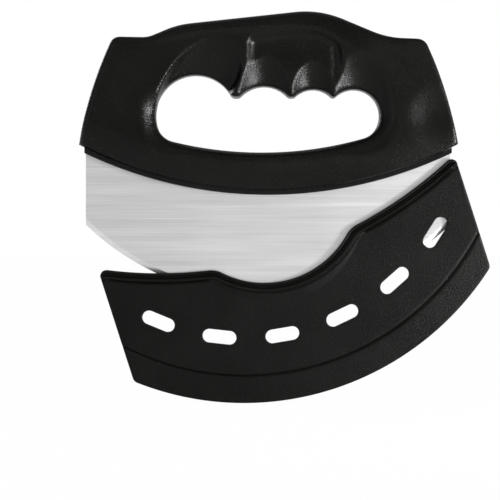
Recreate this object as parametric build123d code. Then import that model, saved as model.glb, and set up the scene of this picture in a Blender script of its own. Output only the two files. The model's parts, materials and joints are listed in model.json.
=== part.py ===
from build123d import *
import math
import os

# Rocking pizza knife with its blade cover half swung off.
# X runs along the knife, Y through its thickness with the front at -Y, and Z is up.
# It is drawn with the lowest point of the cutting edge at the origin, then stood on Z = 0.

overrun = 5.0

# Blade: a plate with a curved cutting edge and a tang inside the handle.
blade_length = 182.0
blade_thickness = 2.0
blade_depth = 51.5
edge_radius = 131.5
edge_land = 0.3
bevel_height = 2.4
tang_inset = 10.5
tang_height = 13.0
tang_rounding = 3.0
ear_width = 16.0
ear_height = 48.5
ear_inset = 20.7
ear_rounding = 6.0

# Handle shells: the front and the rear one meet on the middle plane of the blade.
handle_length = 189.0
handle_height = 92.3
handle_thickness = 28.0
foot_thickness = 15.0
foot_radius = 211.9
taper_height = 10.0
taper_rounding = 12.0
side_radius = 215.0
side_rounding = 5.0
foot_chamfer = 1.0
shell_wall = 3.2
rib_thickness = 2.0
rib_count = 5

# Corners of the handle's top line: place along its length from the middle, height over the
# foot, and rounding, as shares of the handle's length, height and height.
crest_shares = (
    (-0.409, 0.851, 0.058),
    (-0.317, 0.848, 0.150),
    (-0.239, 0.916, 0.480),
    (0.138, 1.000, 0.520),
    (0.312, 0.846, 0.480),
    (0.412, 0.836, 0.065),
)

# Hand hole.
hole_length = 112.5
hole_floor_height = 21.0
hole_floor_radius = 186.5
hole_floor_shift = -3.0
hole_corner_rounding = 11.0
hole_rim_rounding = 4.0
knuckle_height = 39.5
palm_height = 48.5
scoop_land = 4.0
scoop_waist = 1.2

# Finger scoops: each runs from a round bay in the hole to a leaning oval on the face.
# Bay place, bay drop and bay radius, then the oval's place, rise, half length, half width,
# as shares of the hole's length, its lean in degrees, and whether it opens into the recess.
scoop_shares = (
    (-0.320, 0.000, 0.179, -0.302, 0.121, 0.262, 0.156, 58.0, False),
    (-0.018, 0.015, 0.144, -0.011, 0.080, 0.178, 0.100, 90.0, True),
    (0.200, 0.000, 0.1155, 0.191, 0.071, 0.160, 0.085, 90.0, True),
    (0.380, 0.000, 0.1155, 0.422, 0.098, 0.147, 0.107, 70.0, False),
)

# Recess over the middle fingers: corners as shares of the hole's length from the middle and
# of the handle's height over the foot, with their rounding as a share of that height.
recess_depth = 3.5
recess_slope = 50.0
recess_shares = (
    (-0.098, 0.470, 0.000),
    (-0.098, 0.858, 0.065),
    (0.085, 0.925, 0.150),
    (0.318, 0.870, 0.090),
    (0.345, 0.705, 0.110),
    (0.285, 0.470, 0.000),
)

# Tang pins.
pin_diameter = 4.0
pin_length = 10.0
pin_gap = 0.1
pin_boss_wall = 2.6
ear_pin_height = 40.5
bar_pin_spacing = 60.0

# Collar round the blade at the foot of the handle.
collar_height = 2.5
collar_thickness = 12.4
collar_overhang = 0.5
collar_chamfer = 0.7
tongue_height = 2.5
tongue_thickness = 6.0
tongue_length = 174.0

# Blade cover: two walls joined along a lower band, open above and at both ends.
cover_length = 187.0
cover_floor_radius = 131.65
cover_band = 13.85
cover_wall = 2.2
slot_gap = 0.35
seat_gap = 0.5
edge_clearance = 6.65
band_step = 0.3
band_edge_thickness = 4.8
band_chamfer = 0.8
cover_top_rounding = 3.0
cover_bottom_rounding = 3.5
rim_height = 4.8
rim_proud = 1.0
rim_chamfer = 0.7
notch_radius = 47.0
notch_depth = 12.7
notch_shift = -2.0
notch_rounding = 12.0
flare_height = 5.0
flare_spread = 4.0

# Slots through both walls of the cover.
slot_count = 6
slot_pitch = 16.0
slot_circle_radius = 113.0
slot_length = 17.0
slot_width = 7.0

# The cover swings about a point just outside its right shoulder.
pivot_out = 2.7
pivot_drop = 2.1
open_angle = 17.8

tang_length = handle_length - 2 * tang_inset
ear_spacing = handle_length - 2 * ear_inset
foot_centre = blade_depth + foot_radius
shell_foot_radius = foot_radius - collar_height
blade_half = blade_thickness / 2
handle_half = handle_thickness / 2
cover_radius = cover_floor_radius + cover_band
cover_centre = cover_floor_radius - edge_clearance
cover_half_slot = blade_half + slot_gap
cover_half = cover_half_slot + cover_wall
cover_top_centre = foot_centre - cover_centre
cover_top_radius = foot_radius + seat_gap
shoulder_height = cover_top_centre - math.sqrt(cover_top_radius**2 - (cover_length / 2) ** 2)
pivot = (cover_length / 2 + pivot_out, 0, cover_centre + shoulder_height - pivot_drop)


def place(sketch, depth=0.0):
    """Stands a sketch up in the XZ plane, facing the front, at a depth from the middle plane."""
    return Plane.XZ.offset(depth) * sketch


def round_corners(face, corners, radii):
    """Rounds the corners of a face that lie at the given points."""
    for corner, radius in zip(corners, radii):
        if radius > 0:
            nearest = face.vertices().sort_by_distance((corner[0], corner[1], 0))[0]
            face = fillet(nearest, radius)
    return face


def disc(centre, radius):
    """A round face whose centre stands on the knife's middle line."""
    return Pos(0, centre) * Circle(radius)


def foot_band(inner, outer, length):
    """A band between two arcs round the centre of the handle's foot."""
    centre_drop = foot_centre - math.sqrt(inner**2 - (length / 2) ** 2)
    reach = centre_drop - (foot_centre - outer)
    window = Pos(0, foot_centre - outer + reach / 2) * Rectangle(length, reach)
    return (disc(foot_centre, outer) - disc(foot_centre, inner)) & window


# Blade


def sketch_tang():
    """Band under the hand hole with an ear into each side pillar."""
    inner = foot_radius - tang_height
    tang = foot_band(inner, foot_radius + overrun, tang_length)
    ends = [(side * tang_length / 2, foot_centre) for side in (-1, 1)]
    tang = round_corners(tang, ends, (tang_rounding, tang_rounding))
    roots = []
    for side in (-1, 1):
        middle = side * ear_spacing / 2
        base = foot_centre - math.sqrt(foot_radius**2 - middle**2)
        top = blade_depth + ear_height
        stem = Pos(middle, (base + top - ear_width / 2) / 2) * Rectangle(ear_width, top - ear_width / 2 - base)
        tang += stem + Pos(middle, top - ear_width / 2) * Circle(ear_width / 2)
        inside = middle - side * ear_width / 2
        roots.append((inside, foot_centre - math.sqrt(inner**2 - inside**2)))
    return round_corners(tang, roots, (ear_rounding, ear_rounding))


def sketch_blade_face():
    """The part of the blade that shows under the handle."""
    window = Pos(0, edge_radius / 2) * Rectangle(blade_length, edge_radius)
    return (window & disc(edge_radius, edge_radius)) - disc(foot_centre, foot_radius)


def grind_edge(plate, side):
    """Bevels the cutting edge on one face of the plate."""
    face = plate.faces().filter_by(Plane.XZ).sort_by(Axis.Y)[0 if side < 0 else -1]
    edge = face.edges().filter_by(GeomType.CIRCLE).sort_by(Axis.Z)[0]
    return chamfer(edge, bevel_height, (blade_thickness - edge_land) / 2, reference=face)


def make_blade():
    plate = extrude(place(sketch_blade_face()), blade_half, both=True)
    for side in (-1, 1):
        plate = grind_edge(plate, side)
    blade = plate + extrude(place(sketch_tang()), blade_half, both=True)
    for x, z in pin_places():
        blade -= pin_body(x, z, pin_diameter / 2 + pin_gap)
    return blade


# Tang pins


def pin_places():
    """One pin in each ear of the tang and two in the bar under the hand hole."""
    bar_radius = (foot_radius - tang_height + shell_foot_radius - tongue_height) / 2
    bar_x = bar_pin_spacing / 2
    bar_z = foot_centre - math.sqrt(bar_radius**2 - bar_x**2)
    ear_x = ear_spacing / 2
    ear_z = blade_depth + ear_pin_height
    return [(-ear_x, ear_z), (-bar_x, bar_z), (bar_x, bar_z), (ear_x, ear_z)]


def pin_body(x, z, radius):
    return extrude(place(Pos(x, z) * Circle(radius)), pin_length / 2, both=True)


def make_pin(x, z):
    return pin_body(x, z, pin_diameter / 2)


# Collar


def sketch_collar():
    return foot_band(shell_foot_radius, foot_radius, blade_length + 2 * collar_overhang)


def sketch_tongue():
    return foot_band(shell_foot_radius - tongue_height, foot_radius, tongue_length)


def make_collar():
    band = extrude(place(sketch_collar()), collar_thickness / 2, both=True)
    outer = band.edges().filter_by(GeomType.CIRCLE).group_by(Axis.Z)[0]
    band = chamfer(outer, collar_chamfer)
    collar = band + extrude(place(sketch_tongue()), tongue_thickness / 2, both=True)
    return collar - extrude(place(sketch_tang()), blade_half, both=True)


# Handle shells


def half_section(half, rounding):
    """Half of the handle's section against the distance from the foot's centre: level, then tapering."""
    inner = foot_centre + foot_radius - handle_height - overrun
    foot = foot_centre + shell_foot_radius
    slope = (handle_thickness - foot_thickness) / 2 / taper_height
    points = [
        (0, inner),
        (-half, inner),
        (-half, foot - taper_height),
        (slope * (taper_height + overrun) - half, foot + overrun),
        (0, foot + overrun),
    ]
    face = make_face(Polyline(*points, close=True))
    return Plane.YZ * round_corners(face, points[2:3], [rounding])


def foot_ring(section):
    """Ring round the centre of the foot, from its section."""
    return revolve(section, Axis((0, 0, foot_centre), (0, 1, 0)))


def sketch_handle():
    """Outline of the handle, from its crested top to its curved foot."""
    half = handle_length / 2
    foot_end = foot_centre - math.sqrt(shell_foot_radius**2 - half**2)
    crest = [(x * handle_length, blade_depth + z * handle_height) for x, z, _ in crest_shares]
    right = RadiusArc(crest[-1], (half, foot_end), side_radius)
    foot = RadiusArc((half, foot_end), (-half, foot_end), shell_foot_radius)
    left = RadiusArc((-half, foot_end), crest[0], side_radius)
    face = make_face([Polyline(*crest), right, foot, left])
    return round_corners(face, crest, [share * handle_height for _, _, share in crest_shares])


def bay(row):
    """Round bay that one finger lies in, inside the hand hole."""
    x, drop, radius = row[:3]
    height = blade_depth + knuckle_height - drop * hole_length
    return Pos(x * hole_length, height) * Circle(radius * hole_length)


def oval(row, grow=0.0):
    """Oval that the finger's scoop opens into on the face of the handle."""
    x, rise, half_length, half_width, lean = row[3:8]
    height = blade_depth + knuckle_height + rise * hole_length
    shape = Ellipse(half_length * hole_length + grow, half_width * hole_length + grow)
    return Pos(x * hole_length, height) * Rot(0, 0, lean) * shape


def waist(row):
    """The scoop's section half way between its bay and its oval, drawn in a little."""
    bay_x, drop, bay_radius, oval_x, rise, half_length, half_width, lean = row[:8]
    height = blade_depth + knuckle_height + (rise - drop) / 2 * hole_length
    long_radius = (bay_radius + half_length) / 2 * hole_length
    short_radius = (bay_radius + half_width) / 2 * hole_length - scoop_waist
    shape = Ellipse(long_radius, short_radius)
    return Pos((bay_x + oval_x) / 2 * hole_length, height) * Rot(0, 0, lean) * shape


def sketch_palm_gap():
    """The hand hole without its finger bays."""
    first, last = scoop_shares[0], scoop_shares[-1]
    length = (last[0] - first[0]) * hole_length
    middle = (last[0] + first[0]) * hole_length / 2
    top = blade_depth + palm_height
    floor_centre = blade_depth + hole_floor_height + hole_floor_radius
    floor = Pos(hole_floor_shift, floor_centre) * Circle(hole_floor_radius)
    bar = Pos(middle, top - palm_height / 2) * Rectangle(length, palm_height)
    gap = (bay(first) + bar + bay(last)) & floor
    corners = [(side * hole_length / 2, blade_depth) for side in (-1, 1)]
    return round_corners(gap, corners, (hole_corner_rounding, hole_corner_rounding))


def recess_corners():
    return [(x * hole_length, blade_depth + z * handle_height) for x, z, _ in recess_shares]


def make_recess():
    """Tapered recess over the middle fingers, open onto their scoops."""
    corners = recess_corners()
    face = make_face(Polyline(*corners, close=True))
    face = round_corners(face, corners, [share * handle_height for _, _, share in recess_shares])
    pocket = extrude(place(face, handle_half), -recess_depth, taper=recess_slope)
    return pocket + extrude(place(face, handle_half), overrun)


def make_scoop(row):
    """Scoop that leads a finger from its bay in the hole up onto the face."""
    face_depth = handle_half - (recess_depth if row[8] else 0)
    throat = extrude(place(bay(row)), scoop_land / 2)
    middle_depth = (scoop_land / 2 + face_depth) / 2
    sections = [place(bay(row), scoop_land / 2), place(waist(row), middle_depth), place(oval(row), face_depth)]
    flare = loft(sections)
    mouth = extrude(place(oval(row), face_depth), overrun + recess_depth)
    return throat + flare + mouth


def make_core():
    """Hollow inside a shell: the bar and the pillars, with ribs and pin bosses left standing."""
    core = offset(sketch_handle(), -shell_wall)
    core -= offset(sketch_palm_gap(), shell_wall)
    for row in scoop_shares:
        core -= offset(bay(row), shell_wall)
        core -= oval(row, shell_wall)
    grip_height = handle_height - knuckle_height
    core -= Pos(0, blade_depth + knuckle_height + grip_height / 2) * Rectangle(hole_length, grip_height)
    core -= foot_band(shell_foot_radius - tongue_height - shell_wall / 2, foot_radius, handle_length)
    for x, z in pin_places():
        core -= Pos(x, z) * Circle(pin_diameter / 2 + pin_boss_wall)
    pitch = tang_length / (rib_count + 1)
    for i in range(rib_count):
        core -= Pos((i + 1) * pitch - tang_length / 2, blade_depth) * Rectangle(rib_thickness, handle_height)
    return extrude(place(core), handle_half) & foot_ring(half_section(handle_half - shell_wall, 0))


def is_level(edge):
    """Whether an edge runs at one height, as the flat tips between the finger bays do."""
    return math.isclose((edge @ 0).Z, (edge @ 0.5).Z)


def front_edges(shell):
    """Edges of the flat front: those round its sides and top, and those at the hole."""
    front = shell.faces().filter_by(Plane.XZ).sort_by(Axis.Y)[0]
    sides = front.outer_wire().edges().sort_by(Axis.Z)[1:]
    rim = [edge for wire in front.inner_wires() for edge in wire.edges() if not is_level(edge)]
    return sides, rim


def make_front_shell():
    shell = extrude(place(sketch_handle()), handle_half) & foot_ring(half_section(handle_half, taper_rounding))
    shell -= extrude(place(sketch_palm_gap()), handle_half)
    shell = fillet(front_edges(shell)[0], side_rounding)
    shell = fillet(front_edges(shell)[1], hole_rim_rounding)
    for row in scoop_shares:
        shell -= make_scoop(row)
    shell -= make_recess()
    foot = (0, -foot_thickness / 2, foot_centre - shell_foot_radius)
    shell = chamfer(shell.edges().sort_by_distance(foot)[0], foot_chamfer)
    shell -= make_core()
    shell -= extrude(place(sketch_tongue()), tongue_thickness / 2)
    shell -= extrude(place(sketch_tang()), blade_half)
    for x, z in pin_places():
        shell -= pin_body(x, z, pin_diameter / 2)
    return shell


# Blade cover, drawn about the centre of its lower edge


def sketch_cover_mouth():
    """Everything above the cover: the curve that follows the handle's foot, and the thumb notch."""
    top = disc(cover_top_centre, cover_top_radius)
    notch_floor = cover_top_centre - cover_top_radius - notch_depth
    notch_place = (notch_shift, notch_floor + notch_radius)
    mouth = top + Pos(*notch_place) * Circle(notch_radius)
    shoulders = [(side * notch_radius, cover_top_centre - cover_top_radius) for side in (-1, 1)]
    return round_corners(mouth, shoulders, (notch_rounding, notch_rounding))


def sketch_cover():
    """Outline of the cover."""
    window = Pos(0, -cover_radius / 2) * Rectangle(cover_length, cover_radius)
    face = (window & Circle(cover_radius)) - sketch_cover_mouth()
    half = cover_length / 2
    tops = [(side * half, shoulder_height) for side in (-1, 1)]
    bottoms = [(side * half, -cover_radius) for side in (-1, 1)]
    face = round_corners(face, tops, (cover_top_rounding, cover_top_rounding))
    return round_corners(face, bottoms, (cover_bottom_rounding, cover_bottom_rounding))


def make_cover_section():
    """Section through one wall: slot face, solid lower band, step and sloping band face."""
    inner = cover_top_radius - cover_top_centre - overrun
    outer = cover_radius + overrun
    slope = (cover_half - band_step - band_edge_thickness / 2) / cover_band
    far = band_edge_thickness / 2 - slope * overrun
    points = [
        (-cover_half_slot, inner),
        (-cover_half_slot, cover_floor_radius),
        (0, cover_floor_radius),
        (0, outer),
        (-far, outer),
        (band_step - cover_half, cover_floor_radius),
        (-cover_half, cover_floor_radius),
        (-cover_half, inner),
    ]
    return Plane.YZ * make_face(Polyline(*points, close=True))


def make_rim():
    """Rolled bead along the top edge of one wall, before its edge is rounded."""
    strip = sketch_cover() & offset(sketch_cover_mouth(), rim_height)
    return extrude(place(strip, cover_half - cover_wall / 2), cover_wall / 2 + rim_proud)


def make_flare():
    """Crescent under the thumb notch, where the wall swells out to meet the rim."""
    floor = cover_top_centre - cover_top_radius - notch_depth
    wide, narrow = notch_radius + flare_spread, notch_radius
    low = Pos(notch_shift, floor - rim_height - flare_height + wide) * Circle(wide)
    high = Pos(notch_shift, floor - rim_height + narrow) * Circle(narrow)
    swell = loft([place(low, cover_half), place(high, cover_half + rim_proud)])
    return swell & extrude(place(sketch_cover(), cover_half), rim_proud)


def make_slots():
    """Plain round-ended slots along the middle of the wall."""
    cuts = []
    arc_angle = math.degrees((slot_length - slot_width) / slot_circle_radius)
    for i in range(slot_count):
        lean = (i - (slot_count - 1) / 2) * slot_pitch
        line = CenterArc((0, 0), slot_circle_radius, lean - 90 - arc_angle / 2, arc_angle)
        cuts.append(extrude(place(SlotArc(line, slot_width)), handle_half))
    return cuts


def make_cover_half():
    """Front wall of the cover with its half of the lower band."""
    ring = revolve(make_cover_section(), Axis.Y)
    half = extrude(place(sketch_cover()), cover_half) & ring
    half += make_rim() + make_flare()
    rim_face = half.faces().filter_by(Plane.XZ).sort_by(Axis.Y)[0]
    half = chamfer(rim_face.edges().sort_by_distance((0, 0, 0))[0], rim_chamfer)
    lowest = (0, -band_edge_thickness / 2, -cover_radius)
    half = chamfer(half.edges().sort_by_distance(lowest)[0], band_chamfer)
    for cut in make_slots():
        half -= cut
    return half


def swing_cover(half):
    """Seats a wall of the cover on the blade, then swings it open about the pivot."""
    seated = Pos(0, 0, cover_centre) * half
    return seated.rotate(Axis(pivot, (0, -1, 0)), open_angle)


def make_parts():
    parts = {"blade": make_blade(), "blade_collar": make_collar()}
    for number, (x, z) in enumerate(pin_places(), start=1):
        parts[f"tang_pin_{number}"] = make_pin(x, z)
    shell = make_front_shell()
    parts["handle_front_shell"] = shell
    parts["handle_rear_shell"] = mirror(shell, about=Plane.XZ)
    half = swing_cover(make_cover_half())
    parts["cover_front_half"] = half
    parts["cover_rear_half"] = mirror(half, about=Plane.XZ)
    return parts


def stand_up(parts):
    """Moves all the parts alike, so that they stand on Z = 0 with X = 0 at the middle."""
    boxes = [part.bounding_box() for part in parts.values()]
    left = min(box.min.X for box in boxes)
    right = max(box.max.X for box in boxes)
    low = min(box.min.Z for box in boxes)
    return Pos(-(left + right) / 2, 0, -low)


def main():
    os.makedirs("parts", exist_ok=True)
    parts = make_parts()
    stand = stand_up(parts)
    for name, part in parts.items():
        export_step(stand * part, f"parts/{name}.step")


main()
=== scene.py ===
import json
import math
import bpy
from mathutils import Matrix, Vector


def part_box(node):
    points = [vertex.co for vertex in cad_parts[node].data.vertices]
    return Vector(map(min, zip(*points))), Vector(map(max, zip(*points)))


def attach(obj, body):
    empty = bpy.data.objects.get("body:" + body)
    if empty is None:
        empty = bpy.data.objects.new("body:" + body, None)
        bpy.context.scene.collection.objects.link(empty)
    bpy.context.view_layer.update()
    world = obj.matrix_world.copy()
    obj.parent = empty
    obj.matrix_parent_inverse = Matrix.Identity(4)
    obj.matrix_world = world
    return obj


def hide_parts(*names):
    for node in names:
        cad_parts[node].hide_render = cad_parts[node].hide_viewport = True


bl_info = {
    "name": "Rocking Pizza Knife",
    "version": (1, 0, 0),
    "blender": (4, 5, 0),
    "location": "3D View > Sidebar > Pizza Knife",
    "description": "Moulded handle, brushed blade and grained cover for the rocking pizza knife",
    "category": "Object",
}

import bmesh
import bpy
import numpy as np
from bpy.props import FloatProperty, FloatVectorProperty, IntProperty, PointerProperty
from mathutils import Vector
from mathutils.geometry import delaunay_2d_cdt

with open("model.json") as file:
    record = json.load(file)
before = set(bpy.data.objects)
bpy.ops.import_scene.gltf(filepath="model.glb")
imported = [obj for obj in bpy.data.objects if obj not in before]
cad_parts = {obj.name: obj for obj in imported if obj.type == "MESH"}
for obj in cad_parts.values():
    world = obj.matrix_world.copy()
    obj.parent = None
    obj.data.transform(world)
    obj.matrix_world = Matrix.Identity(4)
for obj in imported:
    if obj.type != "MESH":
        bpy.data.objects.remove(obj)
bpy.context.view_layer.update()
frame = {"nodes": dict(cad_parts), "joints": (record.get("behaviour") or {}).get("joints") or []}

# Sizes here are in millimetres in the knife's own drawing, which has the lowest point of the
# cutting edge at its origin, X along the knife and Z up. A fade is a pair of places: from the
# first to the second, something grows from nothing to its full amount.
MM = 0.001

# Spacing of the points on an arc, the least lengths that count, a length beyond all others, and
# how many points are measured at once.
ARC_STEP = 0.5
LEAST_LENGTH = 1e-6
NEAR_NOUGHT = 1e-9
LEAST_SQUARE = 1e-12
FAR_AWAY = 1e9
MEASURED_AT_ONCE = 4000

# Filling an outline: height of a row of even triangles as a share of their width, how far a
# ring's points keep from other edges as a share of the ring's distance, how far the grid keeps
# from the last ring and from a line as shares of its step, and the gap under which points merge.
ROW_SHARE = 0.866
RING_CLEAR = 0.93
GRID_CLEAR = 0.6
LINE_CLEAR = 0.5
MERGE_GAP = 1e-5
CAP_MERGE_GAP = 1e-6

# Handle outline: crest corners (x, z, rounding), then the side and foot arcs.
CREST = (
    (-77.3, 130.05, 5.35),
    (-59.9, 129.77, 13.85),
    (-45.17, 136.05, 44.3),
    (26.08, 143.8, 48.0),
    (58.97, 129.59, 44.3),
    (77.87, 128.66, 6.0),
)
FOOT_HALF = 94.5
FOOT_CENTRE = 263.4
FOOT_RADIUS = 209.4
SIDE_RADIUS = 215.0
CORNER_RUN = 20  # points of each side arc that its crest corner may round

# Share of the drawn width and height that keeps the shells inside the solids' outline.
WIDTH_SHARE = 0.998
HEIGHT_SHARE = 0.9999

# Hand hole: finger bays (x, z, radius), the level of the tips between them, and its floor.
BAYS = (
    (-36.0, 91.0, 20.14),
    (-2.03, 89.31, 16.2),
    (22.5, 91.0, 12.99),
    (42.75, 91.0, 12.99),
)
TIP_LEVEL = 100.0
TIP_ROUNDINGS = (2.9, 2.3, 1.7)
FLOOR_CENTRE = (-3.0, 259.0)
FLOOR_RADIUS = 186.5
FLOOR_CORNER = 11.0
HOLE_ROUNDING = 1.8

# The forefinger's scoop: oval place (x, z), half length, half width and lean.
WIDE_SCOOP = (-34.0, 104.6, 29.5, 17.6, 58.0)
WIDE_SCOOP_TOP = 14.0
WIDE_SCOOP_BLEND = 0.35
WIDE_SCOOP_STRAIGHT_SHARE = 0.45
SCOOP_SEARCH = (-0.2, 3.0)  # shares of the way from bay to oval that are searched
SCOOP_SEARCH_STEPS = 26

# The other fingers' scoops: middle, cross curve, reach over the bay, height at its top, blend.
SCOOPS = (
    (-0.5, 0.032, 14.5, 10.8, 0.35),
    (22.4, 0.042, 13.0, 10.8, 0.35),
    (47.0, 0.024, 17.0, 14.0, 2.0),
)
SCOOP_STRAIGHT_SHARE = 0.7
SCOOP_EDGE = 6.6
SCOOP_LIFT = 0.05  # how fast a scoop's surface climbs below the middle of its bay

# Recess over the middle fingers (x, z, rounding), with a groove near its right end.
RECESS = (
    (-10.2, 94.0, 0.0),
    (-10.2, 129.8, 4.0),
    (6.0, 132.8, 25.0),
    (24.0, 133.2, 18.0),
    (36.0, 127.5, 8.0),
    (38.0, 115.0, 10.0),
    (32.0, 94.0, 0.0),
)
RECESS_DEPTH = 3.5
RECESS_WALL = 4.2
RECESS_LOW_SHARE = 0.45
RECESS_FADE = (106.0, 126.0)
GROOVE_X = 34.2
GROOVE_ENDS = (104.0, 124.0)
GROOVE_HALF = 3.0
GROOVE_DEPTH = 0.8

# Shallow hollows in the side pillars (x, z, half width, half height, depth).
HOLLOWS = ((-76.0, 84.0, 16.0, 28.0, 1.2), (82.0, 90.0, 14.0, 17.0, 1.5))

# Crease under the top rail (x, z). Below it the face slopes back, above it the rail leans away.
CREASE = (
    (-80, 129.0),
    (-59, 129.5),
    (-34, 134.0),
    (-14, 135.5),
    (11, 136.7),
    (26, 135.0),
    (41, 126.5),
    (60, 112.0),
)
RAIL_DROP = 1.0
RAIL_SLOPE = 4.5
RAIL_LEAN = 0.25
RAIL_SOFT = 0.8
RAIL_LEFT_FADE = (-76.0, -51.0)
RAIL_RIGHT_FADE = (54.0, 30.0)
RAIL_LOW_FADE = (92.0, 110.0)

# Crown towards the two ends, flatter on the right.
CROWN_START = 46.0
CROWN_RUN = 48.0
CROWN_BEND = 1.6
RIGHT_CROWN_LOSS = 0.85
RIGHT_CROWN_FADE = (0.0, 40.0)

# Taper, rounding and dish towards the foot and the sides, and the rolled rim of the hole.
TAPER_WIDTH = 10.0
TAPER_SOFT = 4.0
TAPER = 0.65
RIGHT_TAPER_LOSS = 0.5
RIGHT_TAPER_FADE = (25.0, 65.0)
FOOT_ROUNDING = 1.0
SIDE_ROUNDING = 2.6
RIGHT_ROUNDING_LOSS = 1.4
RIGHT_ROUNDING_FADE = (60.0, 80.0)
CREST_ROUNDING_GAIN = 1.2
CREST_LEFT_FADE = (-75.0, -55.0)
CREST_RIGHT_FADE = (70.0, 45.0)
CREST_LOW_FADE = (110.0, 120.0)
SIDE_DISH = 0.8
SIDE_DISH_WIDTH = 9.0
RIGHT_DISH_LOSS = 0.75
RIGHT_DISH_FADE = (0.0, 60.0)
RIM_ROLL = 4.6
RIM_ROLL_WIDTH = 4.2
RIM_SIDE_GAIN = 6.0
RIM_SIDE_FADE = (34.0, 54.0)
RIM_LOW_FADE = (106.0, 92.0)
LEAST_HEIGHT = 0.6

# The shells' mesh: rings of points beside the edges, and the levels of the walls down to the
# seam with how far each is pulled outward, or inward where that is less than nought.
SHELL_RINGS = (0.15, 0.45, 0.9, 1.5, 2.2)
WALL_LEVELS = ((3.0, 0.0), (0.6, 0.0), (0.30, 0.0), (0.02, -0.22))
CREASE_ANGLE = 50.0  # edges sharper than this stay crisp

# Blade cover, drawn about the centre of its lower edge and swung open.
COVER_HALF = 93.5
COVER_RADIUS = 145.49
COVER_FLOOR_RADIUS = 131.65
COVER_CENTRE = 125.0
COVER_TOP_CENTRE = 138.4
COVER_TOP_RADIUS = 212.4
COVER_TOP_ROUNDING = 3.0
COVER_LOW_ROUNDING = 3.5
COVER_SLOT_HALF = 1.35
COVER_WALL_FACE = 3.55
COVER_RIM_FACE = 4.55
COVER_EDGE_ROUNDING = 0.8
BAND_STEP = 0.3
BAND_EDGE = 2.4
BAND_GROOVE_DEPTH = 0.75
BAND_GROOVE_WIDTH = 0.45
RIM_HEIGHT = 4.8
RIM_STEP = 0.7
NOTCH_RADIUS = 47.0
NOTCH_DEPTH = 12.7
NOTCH_SHIFT = -2.0
NOTCH_ROUNDING = 12.0
FLARE_HEIGHT = 5.0
FLARE_HALF = 42.0
FLARE_FACE = 0.75
FLARE_LEAST = 0.3
SLOT_COUNT = 6
SLOT_PITCH = 16.0
SLOT_RING = 113.0
SLOT_LENGTH = 17.0
SLOT_WIDTH = 7.0
SLOT_ROUNDING = 0.35
OPEN_ANGLE = -frame["joints"][0]["range_deg"][0]

# Lines pressed into the rim (distance from the top edge, depth) and their width.
RIM_LINES = ((1.5, 0.7), (2.7, 0.9), (RIM_HEIGHT + 0.15, 0.6))
RIM_LINE_WIDTH = 0.32
TOP_END_REACH = 8  # points over which the top edge is carried on past the corners

# The cover's mesh.
COVER_EDGE_STEP = 0.8
COVER_SLOT_STEP = 0.6
COVER_FACE_STEP = 0.9
COVER_RINGS = (0.15, 0.4, 0.8, 1.2, 1.5, 1.8, 2.2, 2.6, 3.0, 3.5, 4.1, 4.5, 4.9, 5.3)
BAND_LINE_GAP = 0.06
SIDE_GAP = 0.15

# Stage, in metres: camera, what the lamps aim at, and the lamps (place, width of the square).
CAMERA_PLACE = (-0.0172, -1.5, 0.0765)
CAMERA_LENS = 216.0
SENSOR_WIDTH = 36.0
LAMP_AIM = Vector((-0.010, 0.0, 0.12))
LAMPS = {
    "key": ((0.45, -0.34, 0.035), 0.12),
    "broad": ((1.0, -0.9, 0.12), 0.5),
    "fill": ((-1.1, -0.9, 0.45), 0.7),
    "top": ((-0.25, -0.8, 1.15), 0.6),
    "back": ((-0.8, 1.2, 0.5), 0.5),
}
FLOOR_HALF_SIZE = 45.0
FLOOR_SEEN_SHARE = 0.985
FLOOR_MIRROR_SHARE = 0.80
FLOOR_SPECK_SCALE = 60.0
FLOOR_DARK_SHARE = 0.985
SKY_MIRROR_SHARE = 0.22
SKY_TOP_LOSS = 0.20
SKY_RISE = (-0.05, 0.4)


def place(piece, body, slot):
    """Puts a finished piece on its body."""
    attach(piece, body)


def knife_origin():
    """Where the drawing's origin lies in the frame."""
    handle_low, handle_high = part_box("handle_front_shell")
    blade_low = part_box("blade")[0]
    return Vector(((handle_low.x + handle_high.x) / 2, 0.0, blade_low.z))


# Outlines


def arc(centre, radius, start, end, step=ARC_STEP):
    """Points on an arc between two angles in degrees, the first left out."""
    turn = math.radians(end - start)
    count = max(2, int(abs(turn) * radius / step))
    angles = math.radians(start) + turn * np.arange(1, count + 1) / count
    return [(centre[0] + radius * math.cos(a), centre[1] + radius * math.sin(a)) for a in angles]


def bearing(centre, point):
    """Angle in degrees from a centre to a point."""
    return math.degrees(math.atan2(point[1] - centre[1], point[0] - centre[0]))


def swing(centre, start, end, clockwise, step=ARC_STEP):
    """Arc round a centre from one point to another."""
    first, last = bearing(centre, start), bearing(centre, end)
    if clockwise and last > first:
        last -= 360.0
    if not clockwise and last < first:
        last += 360.0
    return arc(centre, math.dist(centre, start), first, last, step)


def bulge(start, end, radius):
    """Arc from start to end that bulges to the left of that direction."""
    start, end = np.array(start), np.array(end)
    half = (end - start) / 2
    reach = math.sqrt(radius**2 - half @ half)
    centre = start + half + np.array((half[1], -half[0])) / math.hypot(*half) * reach
    return swing(tuple(centre), tuple(start), tuple(end), True)


def rounded(corners, closed=True):
    """Polygon with rounded corners, clockwise or not, as points."""
    points = []
    count = len(corners)
    for i, (x, z, radius) in enumerate(corners):
        here = np.array((x, z))
        if radius == 0 or (not closed and i in (0, count - 1)):
            points.append((x, z))
            continue
        before = np.array(corners[i - 1][:2]) - here
        after = np.array(corners[(i + 1) % count][:2]) - here
        before /= math.hypot(*before)
        after /= math.hypot(*after)
        half_angle = math.acos(float(np.clip(before @ after, -1, 1))) / 2
        reach = radius / math.tan(half_angle)
        middle = before + after
        centre = here + middle / math.hypot(*middle) * radius / math.sin(half_angle)
        start, end = here + before * reach, here + after * reach
        turn = before[0] * after[1] - before[1] * after[0]
        points.append(tuple(start))
        points += swing(tuple(centre), tuple(start), tuple(end), turn > 0)
    return points


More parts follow.
